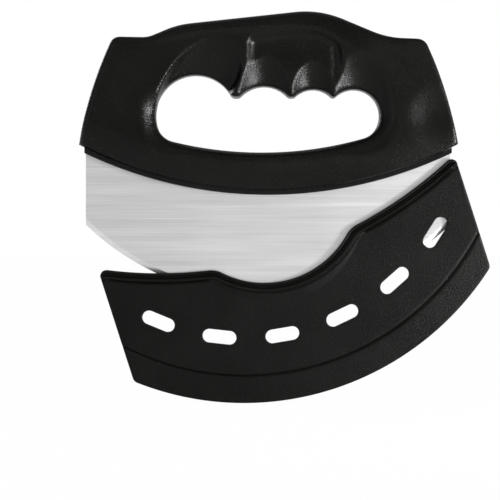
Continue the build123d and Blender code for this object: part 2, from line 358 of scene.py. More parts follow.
def resample(points, step, closed=True):
    """The same line with evenly spaced points."""
    line = np.array(points + points[:1] if closed else points, float)
    lengths = np.hypot(*(line[1:] - line[:-1]).T)
    line = line[np.concatenate(([True], lengths > LEAST_LENGTH))]
    lengths = lengths[lengths > LEAST_LENGTH]
    along = np.concatenate(([0.0], np.cumsum(lengths)))
    count = int(along[-1] / step)
    at = np.linspace(0, along[-1], count + 1)
    if closed:
        at = at[:-1]
    return np.column_stack([np.interp(at, along, line[:, k]) for k in (0, 1)])


def touch(centre, point, radius):
    """Point of a circle that faces another point."""
    centre, point = np.array(centre, float), np.array(point, float)
    return tuple(centre + (point - centre) / math.dist(centre, point) * radius)


def foot_end():
    """Height of the two ends of the foot."""
    return FOOT_CENTRE - math.sqrt(FOOT_RADIUS**2 - FOOT_HALF**2)


def handle_side_line():
    """The handle's sides and top, from the left end of the foot round to the right end."""
    left = (-FOOT_HALF, foot_end())
    right = (FOOT_HALF, foot_end())
    sharp_left = bulge(left, CREST[0][:2], SIDE_RADIUS)
    sharp_right = bulge(CREST[-1][:2], right, SIDE_RADIUS)
    before, after = sharp_left[-CORNER_RUN], sharp_right[CORNER_RUN]
    corners = [(*left, 0.0), (*before, 0.0), *CREST, (*after, 0.0), (*right, 0.0)]
    top = rounded(corners, closed=False)[2:-2]
    return [left] + sharp_left[: 1 - CORNER_RUN] + top + sharp_right[CORNER_RUN:]


def handle_outline():
    """The handle's whole outline, clockwise."""
    sides = handle_side_line()
    foot = swing((0.0, FOOT_CENTRE), sides[-1], sides[0], True)
    return sides + foot[:-1]


def meet(a, reach_a, b, reach_b, side):
    """Point at given distances from two centres, on one side of the line between them."""
    a, b = np.array(a, float), np.array(b, float)
    gap = math.dist(a, b)
    along = (reach_a**2 - reach_b**2 + gap**2) / (2 * gap)
    across = math.sqrt(reach_a**2 - along**2)
    unit = (b - a) / gap
    return a + unit * along + side * across * np.array((-unit[1], unit[0]))


def tip_centre(number, rounding, side):
    """Centre of the rounding where a finger bay meets the tip beside it."""
    x, z, radius = BAYS[number]
    rise = TIP_LEVEL + rounding - z
    return x + side * math.sqrt((radius + rounding) ** 2 - rise**2), TIP_LEVEL + rounding


def hole_outline():
    """The hand hole's edge, clockwise from the left end of its floor."""
    first, last = BAYS[0], BAYS[-1]
    low = []
    for (x, z, radius), side in ((first, 1), (last, -1)):
        reach = FLOOR_RADIUS - FLOOR_CORNER
        low.append(tuple(meet((x, z), radius - FLOOR_CORNER, FLOOR_CENTRE, reach, side)))
    left_floor = touch(FLOOR_CENTRE, low[0], FLOOR_RADIUS)
    right_floor = touch(FLOOR_CENTRE, low[1], FLOOR_RADIUS)
    points = [left_floor]
    at = touch(first[:2], low[0], first[2])
    points += swing(low[0], left_floor, at, True)
    for i, (x, z, radius) in enumerate(BAYS):
        if i:
            tip = tip_centre(i, TIP_ROUNDINGS[i - 1], -1)
            points.append((tip[0], TIP_LEVEL))
            at = touch((x, z), tip, radius)
            points += swing(tip, (tip[0], TIP_LEVEL), at, False)
        if i < len(BAYS) - 1:
            tip = tip_centre(i, TIP_ROUNDINGS[i], 1)
            end = touch((x, z), tip, radius)
            points += swing((x, z), at, end, True)
            points += swing(tip, end, (tip[0], TIP_LEVEL), False)
        else:
            end = touch((x, z), low[1], radius)
            points += swing((x, z), at, end, True)
            points += swing(low[1], end, right_floor, True)
    points += swing(FLOOR_CENTRE, right_floor, left_floor, True)[:-1]
    return points


# Distances


def distance(points, line, closed=True):
    """Distance of each point from a line of points."""
    starts = line if closed else line[:-1]
    ends = np.roll(line, -1, axis=0) if closed else line[1:]
    best = np.full(len(points), FAR_AWAY)
    for low in range(0, len(points), MEASURED_AT_ONCE):
        part = points[low : low + MEASURED_AT_ONCE, None, :]
        along = ends - starts
        share = ((part - starts) * along).sum(2) / np.maximum((along**2).sum(1), LEAST_SQUARE)
        nearest = starts + np.clip(share, 0, 1)[..., None] * along
        best[low : low + MEASURED_AT_ONCE] = np.sqrt(((part - nearest) ** 2).sum(2)).min(1)
    return best


def inside(points, line):
    """Whether each point lies inside a closed line."""
    result = np.zeros(len(points), bool)
    x, z = points[:, 0], points[:, 1]
    for (x0, z0), (x1, z1) in zip(line, np.roll(line, -1, axis=0)):
        crosses = (z0 > z) != (z1 > z)
        with np.errstate(divide="ignore", invalid="ignore"):
            cut = x0 + (z - z0) * (x1 - x0) / (z1 - z0)
        result ^= crosses & (x < cut)
    return result


def ramp(amount, soft):
    """Nothing below zero and the amount above it, bent softly between."""
    bent = (amount + soft) ** 2 / (4 * soft)
    return np.where(amount > soft, amount, np.where(amount < -soft, 0.0, bent))


def lower(first, second, soft):
    """The lower of two surfaces, rounded where they cross."""
    return np.minimum(first, second) - np.maximum(soft - np.abs(first - second), 0) ** 2 / (4 * soft)


def fillet_drop(gap, radius):
    """How far a rounded edge has fallen at a distance from the edge."""
    run = np.clip(radius - gap, 0, radius)
    return radius - np.sqrt(np.maximum(radius**2 - run**2, 0))


def step_in(share):
    """A smooth step from 0 to 1."""
    share = np.clip(share, 0, 1)
    return share * share * (3 - 2 * share)


def fade(place, limits):
    """A smooth step between two places, which may run either way."""
    start, end = limits
    return step_in((place - start) / (end - start))


def bent_rise(share, straight_share, power):
    """A rise of which one share is straight and the rest bends upward."""
    return straight_share * share + (1 - straight_share) * share**power


def lift_below(points, bay):
    """How much higher a scoop's surface gets below the middle of its bay."""
    return SCOOP_LIFT * np.maximum(bay[1] - points[:, 1], 0.0) ** 2


def wide_scoop_height(points, bay):
    """Height of the scoop that widens from its round bay to its leaning oval."""
    bay_x, bay_z, bay_radius = bay
    oval_x, oval_z, half_length, half_width, lean = WIDE_SCOOP
    cos, sin = math.cos(math.radians(lean)), math.sin(math.radians(lean))
    low, high = (np.full(len(points), limit) for limit in SCOOP_SEARCH)
    for _ in range(SCOOP_SEARCH_STEPS):
        share = (low + high) / 2
        dx = points[:, 0] - (bay_x + share * (oval_x - bay_x))
        dz = points[:, 1] - (bay_z + share * (oval_z - bay_z))
        long_reach = bay_radius + share * (half_length - bay_radius)
        short_reach = np.maximum(bay_radius + share * (half_width - bay_radius), 1.0)
        long_side = (dx * cos + dz * sin) / long_reach
        short_side = (dz * cos - dx * sin) / short_reach
        outside = long_side**2 + short_side**2 > 1
        low = np.where(outside, share, low)
        high = np.where(outside, high, share)
    share = np.maximum((low + high) / 2, 0.0)
    rise = bent_rise(share, WIDE_SCOOP_STRAIGHT_SHARE, 2)
    return SCOOP_EDGE + (WIDE_SCOOP_TOP - SCOOP_EDGE) * rise + lift_below(points, bay)


def scoop_height(points, bay, scoop):
    """Height of a groove that rises from its round bay and curves up to both sides."""
    middle, curve, reach, top, _ = scoop
    over = np.hypot(points[:, 0] - bay[0], points[:, 1] - bay[1]) - bay[2]
    share = np.maximum(over, 0.0) / reach
    rise = bent_rise(share, SCOOP_STRAIGHT_SHARE, 3)
    across = curve * (points[:, 0] - middle) ** 2
    return SCOOP_EDGE + (top - SCOOP_EDGE) * rise + across + lift_below(points, bay)


def handle_surface(points, sides, hole, sizes):
    """Height of the handle's face over the middle plane at each point."""
    x, z = points[:, 0], points[:, 1]
    half = sizes.half_thickness / MM
    over_foot = FOOT_RADIUS - np.hypot(x, z - FOOT_CENTRE)
    from_sides = distance(points, sides, closed=False)
    from_hole = distance(points, hole)

    crown = sizes.crown_fall / MM * np.clip((np.abs(x) - CROWN_START) / CROWN_RUN, 0, 1) ** CROWN_BEND
    crown *= 1 - RIGHT_CROWN_LOSS * fade(x, RIGHT_CROWN_FADE)
    taper = TAPER - RIGHT_TAPER_LOSS * fade(x, RIGHT_TAPER_FADE)
    height = half - crown - taper * ramp(TAPER_WIDTH - over_foot, TAPER_SOFT)
    for hollow_x, hollow_z, half_width, half_height, depth in HOLLOWS:
        reach = ((x - hollow_x) / half_width) ** 2 + ((z - hollow_z) / half_height) ** 2
        height -= depth * np.clip(1 - reach, 0, 1) ** 2

    over_crease = z - np.interp(x, *np.array(CREASE).T)
    strength = fade(x, RAIL_LEFT_FADE) * fade(x, RAIL_RIGHT_FADE)
    slope = 1 - fade(over_crease, (-RAIL_SLOPE, 0.0))
    height -= RAIL_DROP * strength * slope * fade(z, RAIL_LOW_FADE)
    height -= RAIL_LEAN * strength * ramp(over_crease, RAIL_SOFT)

    recess = resample(rounded(RECESS), ARC_STEP)
    wall = np.where(inside(points, recess), distance(points, recess), 0.0)
    depth = (RECESS_DEPTH - RAIL_DROP * strength) * (
        RECESS_LOW_SHARE + (1 - RECESS_LOW_SHARE) * fade(z, RECESS_FADE)
    )
    height -= depth * (1 - (1 - np.clip(wall / RECESS_WALL, 0, 1)) ** 2)
    groove = np.hypot(x - GROOVE_X, z - np.clip(z, *GROOVE_ENDS)) / GROOVE_HALF
    height -= GROOVE_DEPTH * np.clip(1 - groove**2, 0, 1)

    rim_width = RIM_ROLL_WIDTH + RIM_SIDE_GAIN * fade(np.abs(x - FLOOR_CENTRE[0]), RIM_SIDE_FADE)
    share = np.clip(1 - from_hole / rim_width, 0, 1)
    height -= RIM_ROLL * fade(z, RIM_LOW_FADE) * share**2

    on_crest = fade(x, CREST_LEFT_FADE) * fade(x, CREST_RIGHT_FADE) * fade(z, CREST_LOW_FADE)
    side_round = SIDE_ROUNDING - RIGHT_ROUNDING_LOSS * fade(x, RIGHT_ROUNDING_FADE)
    height -= fillet_drop(from_sides, side_round + CREST_ROUNDING_GAIN * on_crest)
    dish = SIDE_DISH - RIGHT_DISH_LOSS * fade(x, RIGHT_DISH_FADE)
    height -= dish * np.clip(1 - from_sides / SIDE_DISH_WIDTH, 0, 1) ** 2
    height -= fillet_drop(over_foot, FOOT_ROUNDING)

    height = lower(height, wide_scoop_height(points, BAYS[0]), WIDE_SCOOP_BLEND)
    for bay, scoop in zip(BAYS[1:], SCOOPS):
        height = lower(height, scoop_height(points, bay, scoop), scoop[-1])
    height -= fillet_drop(from_hole, HOLE_ROUNDING)
    return np.maximum(height, LEAST_HEIGHT)


def ring_points(line, reach):
    """Points at a distance to the inside of a closed line that runs clockwise."""
    before = np.roll(line, 1, axis=0)
    after = np.roll(line, -1, axis=0)
    along = after - before
    along /= np.maximum(np.hypot(along[:, 0], along[:, 1]), NEAR_NOUGHT)[:, None]
    return line + reach * np.column_stack((along[:, 1], -along[:, 0]))


def fill_outline(outline, holes, step, rings, lines=()):
    """Triangles that fill the space between an outline and its holes: points and faces.

    The points follow rings beside the edges, a grid further in, and the lines given.
    """
    loops = [outline, *holes]

    def within(points):
        found = inside(points, outline)
        for hole in holes:
            found &= ~inside(points, hole)
        return points[found]

    def gap(points):
        return np.min([distance(points, loop) for loop in loops], axis=0)

    kept = []
    for loop, way in [(outline, 1)] + [(hole, -1) for hole in holes]:
        for reach in rings:
            points = within(ring_points(loop, way * reach))
            kept.append(points[gap(points) > reach * RING_CLEAR])
    low, high = outline.min(0), outline.max(0)
    rows = np.arange(low[1], high[1], step * ROW_SHARE)
    across = np.arange(low[0], high[0], step)
    staggered = [(x + (i % 2) * step / 2, z) for i, z in enumerate(rows) for x in across]
    grid = within(np.array(staggered))
    clear = gap(grid) > rings[-1] + step * GRID_CLEAR
    for line in lines:
        clear &= distance(grid, line, closed=False) > step * LINE_CLEAR
    kept.append(grid[clear])
    edges = []
    for loop in loops:
        first = len(edges)
        count = len(loop)
        edges += [(first + i, first + (i + 1) % count) for i in range(count)]
    points = np.vstack(loops + list(lines) + kept)
    first = len(edges)
    for line in lines:
        edges += [(first + i, first + i + 1) for i in range(len(line) - 1)]
        first += len(line)
    made = delaunay_2d_cdt([Vector(p) for p in points], edges, [], 2, MERGE_GAP)
    flat = np.array([tuple(v) for v in made[0]])
    faces = np.array([tuple(f) for f in made[2]])
    middles = flat[faces].mean(1)
    kept_faces = inside(middles, outline)
    for hole in holes:
        kept_faces &= ~inside(middles, hole)
    return flat, [tuple(int(v) for v in f) for f in faces[kept_faces]]


def edge_loops(faces):
    """Directed edges that only one face has."""
    seen = {}
    for face in faces:
        for a, b in zip(face, face[1:] + face[:1]):
            seen[(a, b)] = seen.get((a, b), 0) + 1
    return [(a, b) for a, b in seen if (b, a) not in seen]


def mesh_piece(name, points, faces, origin, finish):
    """A shaded mesh from points in millimetres of the drawing."""
    mesh = bpy.data.meshes.new(name)
    shifted = np.array(points, float) * MM + np.array(origin)
    mesh.from_pydata([tuple(p) for p in shifted], [], faces)
    mesh.validate()
    mesh.update()
    piece = bpy.data.objects.new(name, mesh)
    bpy.context.scene.collection.objects.link(piece)
    edit = bmesh.new()
    edit.from_mesh(mesh)
    bmesh.ops.recalc_face_normals(edit, faces=edit.faces)
    edit.to_mesh(mesh)
    edit.free()
    mesh.materials.append(finish)
    mesh.polygons.foreach_set("use_smooth", [True] * len(mesh.polygons))
    mesh.set_sharp_from_angle(angle=math.radians(CREASE_ANGLE))
    return piece


def sculpt_shells(sizes):
    """Points and faces of the front handle shell, in millimetres."""
    step = sizes.handle_detail / MM
    outline = resample(handle_outline(), step)
    sides = resample(handle_side_line(), step, closed=False)
    hole = resample(hole_outline(), step)
    flat, faces = fill_outline(outline, [hole], step, SHELL_RINGS)
    height = handle_surface(flat, sides, hole, sizes)
    height = smooth_heights(height, faces, sizes.smoothing)
    front = np.column_stack((flat[:, 0], -height, flat[:, 1]))
    points = [tuple(p) for p in front]
    rim = edge_loops(faces)
    made = list(faces)
    upper = {a: a for a, _ in rim}
    outward = {}
    for a, b in rim:
        step_vector = front[b] - front[a]
        across = np.array((step_vector[2], 0.0, -step_vector[0]))
        across /= max(np.linalg.norm(across), NEAR_NOUGHT)
        for v in (a, b):
            outward[v] = outward.get(v, 0) + across
    for level, pull in WALL_LEVELS:
        lower_ring = {}
        for a in upper:
            pull_way = outward[a] / max(np.linalg.norm(outward[a]), NEAR_NOUGHT)
            lower_ring[a] = len(points)
            x, _, z = points[a]
            points.append((x + pull * pull_way[0], -level, z + pull * pull_way[2]))
        for a, b in rim:
            made.append((upper[b], upper[a], lower_ring[a], lower_ring[b]))
        upper = lower_ring
    ring = [(upper[a], upper[b]) for a, b in rim]
    used = sorted({v for pair in ring for v in pair})
    index = {v: i for i, v in enumerate(used)}
    cap_edges = [(index[a], index[b]) for a, b in ring]
    corners = [Vector((points[v][0], points[v][2])) for v in used]
    cap = delaunay_2d_cdt(corners, cap_edges, [], 2, CAP_MERGE_GAP)
    cap_points = np.array([tuple(v) for v in cap[0]])
    cap_faces = np.array([tuple(f) for f in cap[2]])
    middles = cap_points[cap_faces].mean(1)
    for face in cap_faces[inside(middles, outline) & ~inside(middles, hole)]:
        made.append(tuple(used[cap[3][v][0]] for v in face))
    return np.array(points), made


def smooth_heights(height, faces, passes):
    """Evens out the face a little, but not its edges."""
    edges = np.array([(a, b) for f in faces for a, b in zip(f, f[1:] + f[:1])])
    count = sum(np.bincount(edges[:, k], minlength=len(height)) for k in (0, 1))
    border = np.zeros(len(height), bool)
    for a, b in edge_loops(faces):
        border[a] = border[b] = True
    for _ in range(passes):
        total = np.bincount(edges[:, 0], height[edges[:, 1]], len(height))
        total += np.bincount(edges[:, 1], height[edges[:, 0]], len(height))
        height = np.where(border, height, 0.5 * height + 0.5 * total / np.maximum(count, 1))
    return height


# Blade cover


def cover_outline():
    """The cover's outline, clockwise from the top of its left side, and its top edge."""
    top_centre = (0.0, COVER_TOP_CENTRE)
    notch = (NOTCH_SHIFT, COVER_TOP_CENTRE - COVER_TOP_RADIUS - NOTCH_DEPTH + NOTCH_RADIUS)
    inset = COVER_HALF - COVER_TOP_ROUNDING
    corner_z = COVER_TOP_CENTRE - math.sqrt((COVER_TOP_RADIUS + COVER_TOP_ROUNDING) ** 2 - inset**2)
    left, right = (-inset, corner_z), (inset, corner_z)
    top_reach = COVER_TOP_RADIUS + NOTCH_ROUNDING
    notch_reach = NOTCH_RADIUS + NOTCH_ROUNDING
    shoulders = sorted(tuple(meet(top_centre, top_reach, notch, notch_reach, side)) for side in (-1, 1))
    top = [(-COVER_HALF, corner_z)]
    top += swing(left, top[-1], touch(top_centre, left, COVER_TOP_RADIUS), True)
    top += swing(top_centre, top[-1], touch(top_centre, shoulders[0], COVER_TOP_RADIUS), False)
    top += swing(shoulders[0], top[-1], touch(notch, shoulders[0], NOTCH_RADIUS), True)
    top += swing(notch, top[-1], touch(notch, shoulders[1], NOTCH_RADIUS), False)
    top += swing(shoulders[1], top[-1], touch(top_centre, shoulders[1], COVER_TOP_RADIUS), True)
    top += swing(top_centre, top[-1], touch(top_centre, right, COVER_TOP_RADIUS), False)
    top += swing(right, top[-1], (COVER_HALF, corner_z), True)
    inset = COVER_HALF - COVER_LOW_ROUNDING
    low_z = -math.sqrt((COVER_RADIUS - COVER_LOW_ROUNDING) ** 2 - inset**2)
    points = top + [(COVER_HALF, low_z)]
    points += swing((inset, low_z), points[-1], touch((0, 0), (inset, low_z), COVER_RADIUS), True)
    points += swing((0, 0), points[-1], touch((0, 0), (-inset, low_z), COVER_RADIUS), True)
    points += swing((-inset, low_z), points[-1], (-COVER_HALF, low_z), True)
    return points, top, notch


def slot_outlines():
    """Six round-ended slots on an arc, each clockwise."""
    loops = []
    half = (SLOT_LENGTH - SLOT_WIDTH) / 2
    for i in range(SLOT_COUNT):
        turn = (i - (SLOT_COUNT - 1) / 2) * SLOT_PITCH
        points = arc((-half, 0), SLOT_WIDTH / 2, 270, 90) + arc((half, 0), SLOT_WIDTH / 2, 90, -90)
        cos, sin = math.cos(math.radians(turn)), math.sin(math.radians(turn))
        low = [(x, z - SLOT_RING) for x, z in points]
        loops.append([(x * cos - z * sin, x * sin + z * cos) for x, z in low])
    return loops


def cover_surface(points, top, outline, slots, notch):
    """Height of the cover's outer face over the middle plane."""
    x, z = points[:, 0], points[:, 1]
    mouth = top[np.abs(top[:, 0]) < COVER_HALF - COVER_TOP_ROUNDING]
    left_end = 2 * mouth[0] - mouth[TOP_END_REACH]
    right_end = 2 * mouth[-1] - mouth[-1 - TOP_END_REACH]
    from_top = distance(points, np.vstack((left_end, mouth, right_end)), closed=False)
    band = np.hypot(x, z) - COVER_FLOOR_RADIUS
    slope = (COVER_WALL_FACE - BAND_STEP - BAND_EDGE) / (COVER_RADIUS - COVER_FLOOR_RADIUS)
    height = COVER_WALL_FACE - np.where(band > 0, BAND_STEP + slope * band, 0.0)
    height -= BAND_GROOVE_DEPTH * np.exp(-((band / BAND_GROOVE_WIDTH) ** 2))

    from_notch = np.hypot(x - notch[0], z - notch[1]) - NOTCH_RADIUS
    swell = FLARE_HEIGHT * np.clip(1 - ((x - notch[0]) / FLARE_HALF) ** 2, 0, 1)
    share = np.clip((from_top - RIM_HEIGHT) / np.maximum(swell, FLARE_LEAST), 0, 1)
    flared = (swell > FLARE_LEAST) & (from_notch > 0) & (from_top > RIM_HEIGHT)
    height += np.where(flared, FLARE_FACE * (1 - share), 0.0)

    height += (COVER_RIM_FACE - COVER_WALL_FACE) * step_in((RIM_HEIGHT - from_top) / RIM_STEP)
    for place_down, depth in RIM_LINES:
        height -= depth * np.exp(-(((from_top - place_down) / RIM_LINE_WIDTH) ** 2))
    height -= fillet_drop(distance(points, outline), COVER_EDGE_ROUNDING)
    from_slots = np.min([distance(points, slot) for slot in slots], axis=0)
    return height - fillet_drop(from_slots, SLOT_ROUNDING)


def sculpt_cover():
    """Points and faces of the front half of the cover, in millimetres of its own drawing."""
    points, top, notch = cover_outline()
    outline = resample(points, COVER_EDGE_STEP)
    top = resample(top, COVER_EDGE_STEP, closed=False)
    slots = [resample(slot, COVER_SLOT_STEP) for slot in slot_outlines()]
    lines = []
    for radius in (COVER_FLOOR_RADIUS - BAND_LINE_GAP, COVER_FLOOR_RADIUS + BAND_LINE_GAP):
        reach = math.degrees(math.asin((COVER_HALF - SIDE_GAP) / radius))
        lines.append(np.array(arc((0, 0), radius, 270 - reach, 270 + reach, COVER_EDGE_STEP)))
    flat, faces = fill_outline(outline, slots, COVER_FACE_STEP, COVER_RINGS, lines)
    height = cover_surface(flat, top, outline, slots, notch)
    inner = np.where(np.hypot(*flat.T) < COVER_FLOOR_RADIUS, COVER_SLOT_HALF, 0.0)
    count = len(flat)
    made = list(faces) + [tuple(v + count for v in face[::-1]) for face in faces]
    made += [(b, a, a + count, b + count) for a, b in edge_loops(faces)]
    outer = np.column_stack((flat[:, 0], -height, flat[:, 1]))
    return np.vstack((outer, np.column_stack((flat[:, 0], -inner, flat[:, 1])))), made


# Finishes

# Plastic: the fine grain against the coarse, the clouds' size, what counts as a rubbed edge with a
# painted edge highlight and as a worn patch, how far and how much paler those are, and what changes the
# roughness.
FINE_GRAIN = 2.6
COARSE_SHARE = 0.65
CLOUD_SCALE = 38.0
RUBBED_EDGE_AND_HIGHLIGHT = (0.52, 0.60)
WORN_PATCH = (0.35, 0.75)
RUB_AND_HIGHLIGHT_SHARE = 0.5
WORN_SHARE = 0.35
PALE_GAIN = 2.0
PALE_LIFT = 0.0025
CLOUD_ROUGHNESS = 0.14
GRAIN_ROUGHNESS = 0.16
RUB_POLISH = 0.05

# Steel: the broad lines against the fine, what counts as a dark and a light line, their colours
# as shares of the steel's, and what changes the roughness.
BROAD_LENGTH = 0.6
BROAD_WIDTH = 0.12
FINE_LINES_SHARE = 0.6
STEEL_CLOUD_SCALE = 22.0
STEEL_LINES = (0.32, 0.68)
DARK_SHARE = 0.80
LIGHT_SHARE = 1.10
LINE_DEPTH = 0.00002
LINE_STRENGTH = 0.6
LINE_ROUGHNESS = 0.25
STEEL_CLOUD_ROUGHNESS = 0.08
PIN_COLOUR = (0.6, 0.6, 0.6)


class Wire:
    """An output of a finish's nodes, which takes part in sums as a number does."""

    def __init__(self, finish, socket):
        self.finish = finish
        self.socket = socket

    def join(self, other, sum_name, swapped=False):
        """The node that works out this output and another value together."""
        first, second = (other, self) if swapped else (self, other)
        if self.socket.type == "VECTOR":
            return self.finish.node("ShaderNodeVectorMath", {"operation": sum_name}, {0: first, 1: second})
        if self.socket.type == "RGBA":
            settings = {"data_type": "RGBA", "blend_type": sum_name}
            return self.finish.node("ShaderNodeMix", settings, {0: 1.0, 6: first, 7: second}, out=2)
        return self.finish.node("ShaderNodeMath", {"operation": sum_name}, {0: first, 1: second})

    def __add__(self, other):
        return self.join(other, "ADD")

    def __radd__(self, other):
        return self.join(other, "ADD", True)

    def __sub__(self, other):
        return self.join(other, "SUBTRACT")

    def __rsub__(self, other):
        return self.join(other, "SUBTRACT", True)

    def __mul__(self, other):
        return self.join(other, "MULTIPLY")

    def __rmul__(self, other):
        return self.join(other, "MULTIPLY", True)


class Finish:
    """A material made of nodes."""

    def __init__(self, name, tree=None):
        if tree is None:
            self.material = bpy.data.materials.new(name)
            self.material.use_nodes = True
            tree = self.material.node_tree
        self.tree = tree
        self.tree.nodes.clear()

    def node(self, kind, settings=None, values=None, out=0):
        """Adds a node with its settings and the values or links of its sockets."""
        made = self.tree.nodes.new(kind)
        for name, value in (settings or {}).items():
            setattr(made, name, value)
        for name, value in (values or {}).items():
            if isinstance(value, Wire):
                self.tree.links.new(value.socket, made.inputs[name])
            else:
                made.inputs[name].default_value = value
        return Wire(self, made.outputs[out]) if made.outputs else made

    def place(self, turn=0.0, stretch=(1.0, 1.0, 1.0)):
        """Where a point of the piece is, turned about Y and stretched."""
        where = self.node("ShaderNodeTexCoord", out="Object")
        if turn == 0.0 and stretch == (1.0, 1.0, 1.0):
            return where
        values = {"Vector": where, "Rotation": (0.0, turn, 0.0), "Scale": stretch}
        return self.node("ShaderNodeMapping", {"vector_type": "POINT"}, values)

    def noise(self, where, scale, detail, rough):
        """A cloudy share from 0 to 1."""
        values = {"Vector": where, "Scale": scale, "Detail": detail, "Roughness": rough}
        return self.node("ShaderNodeTexNoise", {"noise_dimensions": "3D"}, values)

    def tint(self, share, first, second):
        """Colour between two colours."""
        settings = {"data_type": "RGBA", "clamp_factor": True}
        return self.node("ShaderNodeMix", settings, {0: share, 6: (*first, 1.0), 7: (*second, 1.0)}, out=2)

    def spread(self, share, low, high):
        """Stretches a share between two limits to the whole range from 0 to 1."""
        settings = {"clamp": True}
        values = {"Value": share, "From Min": low, "From Max": high}
        return self.node("ShaderNodeMapRange", settings, values)

    def relief(self, height, depth, strength):
        """The direction that a surface with small ups and downs faces."""
        values = {"Height": height, "Distance": depth, "Strength": strength}
        return self.node("ShaderNodeBump", {}, values)

    def surface(self, varying, fixed):
        """Ends the finish in its shader."""
        shader = self.node("ShaderNodeBsdfPrincipled", {}, {**varying, **fixed})
        self.node("ShaderNodeOutputMaterial", {}, {"Surface": shader})
        return self.material


def moulded_plastic(name, colour, grain, depth, roughness, specular):
    """Black moulded plastic with a fine spark-eroded grain and paler rubbed edges, which are partly a
    painted edge highlight.
    """
    finish = Finish(name)
    where = finish.place()
    coarse = finish.noise(where, grain, 3.0, 0.6)
    fine = finish.noise(where, grain * FINE_GRAIN, 2.0, 0.5)
    cloud = finish.noise(where, CLOUD_SCALE, 3.0, 0.55)
    # Convex edges are painted paler: partly rubbed wear, partly a painted edge highlight.
    rub_and_highlight = finish.spread(finish.node("ShaderNodeNewGeometry", out="Pointiness"), *RUBBED_EDGE_AND_HIGHLIGHT)
    pale = tuple(c * PALE_GAIN + PALE_LIFT for c in colour)
    wear_and_highlight = finish.spread(cloud, *WORN_PATCH) * WORN_SHARE + rub_and_highlight * RUB_AND_HIGHLIGHT_SHARE
    base = finish.tint(wear_and_highlight, colour, pale)
    height = coarse * COARSE_SHARE + fine * (1 - COARSE_SHARE)
    uneven = roughness + (cloud - 0.5) * CLOUD_ROUGHNESS + (coarse - 0.5) * GRAIN_ROUGHNESS
    gloss = uneven - rub_and_highlight * RUB_POLISH
    normal = finish.relief(height, depth, 1.0)
    return finish.surface(
        {"Base Color": base, "Roughness": gloss, "Normal": normal},
        {"Specular IOR Level": specular},
    )


def brushed_steel(name, colour, roughness, stretch, turn):
    """Steel with long brushing lines."""
    finish = Finish(name)
    lines = finish.noise(finish.place(turn, stretch), 1.0, 5.0, 0.65)
    wide = (stretch[0] * BROAD_LENGTH, 1.0, stretch[2] * BROAD_WIDTH)
    broad = finish.noise(finish.place(turn, wide), 1.0, 3.0, 0.6)
    cloud = finish.noise(finish.place(), STEEL_CLOUD_SCALE, 2.0, 0.5)
    both = lines * FINE_LINES_SHARE + broad * (1 - FINE_LINES_SHARE)
    share = finish.spread(both, *STEEL_LINES)
    dark = tuple(c * DARK_SHARE for c in colour)
    light = tuple(min(1.0, c * LIGHT_SHARE) for c in colour)
    base = finish.tint(share, dark, light)
    gloss = roughness + (lines - 0.5) * LINE_ROUGHNESS + (cloud - 0.5) * STEEL_CLOUD_ROUGHNESS
    normal = finish.relief(lines, LINE_DEPTH, LINE_STRENGTH)
    return finish.surface({"Base Color": base, "Roughness": gloss, "Normal": normal}, {"Metallic": 1.0})


def dress(nodes, finish):
    """Gives CAD nodes a finish."""
    for name in nodes:
        node = frame["nodes"][name]
        if not node.data.materials:
            node.data.materials.append(finish)
        for slot in node.material_slots:
            slot.material = finish


# Settings


def colour_property(name, description, default):
    return FloatVectorProperty(
        name=name, description=description, default=default, size=3, min=0.0, max=1.0, subtype="COLOR"
    )


class KnifeSizes(bpy.types.PropertyGroup):
    half_thickness: FloatProperty(
        name="Handle Half Thickness",
        description="From the middle plane to the handle's face",
        default=-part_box("handle_front_shell")[0].y,
        unit="LENGTH",
    )
    crown_fall: FloatProperty(
        name="Crown Fall",
        description="How much thinner the handle is at its two ends",
        default=0.0014,
        unit="LENGTH",
    )
    handle_detail: FloatProperty(
        name="Handle Detail",
        description="Spacing of the points on the handle's face",
        default=0.0007,
        unit="LENGTH",
    )
    smoothing: IntProperty(
        name="Smoothing", description="Passes that even out the handle's face", default=3, min=0
    )


class KnifeColours(bpy.types.PropertyGroup):
    handle: colour_property("Handle", "Colour of the handle's plastic", (0.0019, 0.0018, 0.0015))
    cover: colour_property("Cover", "Colour of the cover's plastic", (0.0020, 0.0019, 0.0017))
    collar: colour_property("Collar", "Colour of the collar's plastic", (0.0025, 0.0025, 0.0026))
    steel: colour_property("Steel", "Colour of the blade's steel", (0.77, 0.77, 0.77))
    floor: colour_property("Floor", "Colour of the floor", (0.86, 0.86, 0.86))


def power_property(name, description, default):
    return FloatProperty(name=name, description=description, default=default, unit="POWER")


class KnifeStage(bpy.types.PropertyGroup):
    sky: FloatProperty(name="Sky", description="Strength of the light from all round", default=0.38)
    key: power_property("Key Lamp", "Power of the low lamp on the right", 9.0)
    broad: power_property("Broad Lamp", "Power of the wide lamp on the right", 3.0)
    fill: power_property("Fill Lamp", "Power of the lamp on the left", 2.0)
    top: power_property("Top Lamp", "Power of the lamp overhead", 0.8)
    back: power_property("Back Lamp", "Power of the lamp behind", 3.0)


# Operators


class KNIFE_OT_handle(bpy.types.Operator):
    """Builds the two moulded handle shells"""

    bl_idname = "knife.handle"
    bl_label = "Handle Shells"

    def execute(self, context):
        sizes = context.scene.knife_sizes
        colours = context.scene.knife_colours
        colour = tuple(colours.handle)
        finish = moulded_plastic(
            "satin_black_plastic", colour, grain=1300.0, depth=0.00019, roughness=0.28, specular=0.13
        )
        points, faces = sculpt_shells(sizes)
        origin = knife_origin()
        for name, side, node in (
            ("handle_shell_front", 1, "handle_front_shell"),
            ("handle_shell_rear", -1, "handle_rear_shell"),
        ):
            shares = np.array((WIDTH_SHARE, side, HEIGHT_SHARE))
            piece = mesh_piece(name, points * shares, faces, origin, finish)
            place(piece, "knife", "handle_plastic")
            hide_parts(node)
        return {"FINISHED"}


